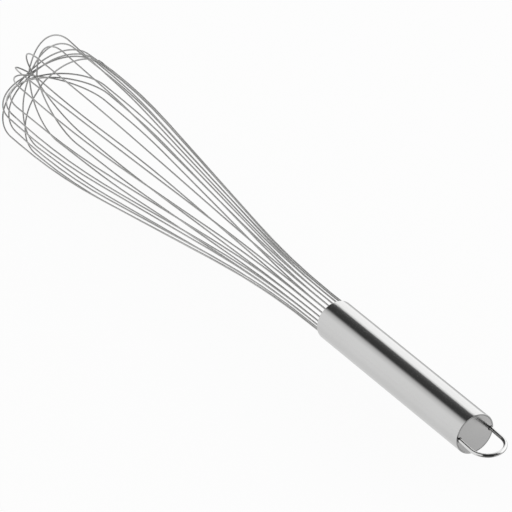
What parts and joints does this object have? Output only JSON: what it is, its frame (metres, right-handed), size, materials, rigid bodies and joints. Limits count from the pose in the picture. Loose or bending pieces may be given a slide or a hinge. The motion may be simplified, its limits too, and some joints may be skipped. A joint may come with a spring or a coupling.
{
  "type": "whisk",
  "caption": "Long balloon whisk: fine steel wire loops crossing at the tip, a plain polished tube handle and a round hanging loop at the butt.",
  "frame": {"origin": "middle of the grip, on the handle's axis", "axes": "+X along the handle's axis from the wire head to the hanging loop, +Y from the hanging loop's one leg to the other, +Z away from the side it leans to"},
  "size_m": [0.4992, 0.0695, 0.0709],
  "materials": {
    "polished_steel": "polished",
    "wire_steel": "bright drawn wire",
    "core_metal": "plain",
    "sealing_resin": "matt"
  },
  "bodies": {
    "root": {"handle_tube": "polished_steel", "end_disc": "polished_steel", "hanging_loop": "polished_steel", "wire_loop_01": "wire_steel", "wire_loop_02": "wire_steel", "wire_loop_03": "wire_steel", "wire_loop_04": "wire_steel", "wire_loop_05": "wire_steel", "wire_loop_06": "wire_steel", "wire_loop_07": "wire_steel", "wire_loop_08": "wire_steel", "wire_loop_09": "wire_steel", "wire_loop_10": "wire_steel", "wire_loop_11": "wire_steel", "wire_loop_12": "wire_steel", "wire_seat": "core_metal", "mouth_seal": "sealing_resin"}
  },
  "joints": []
}
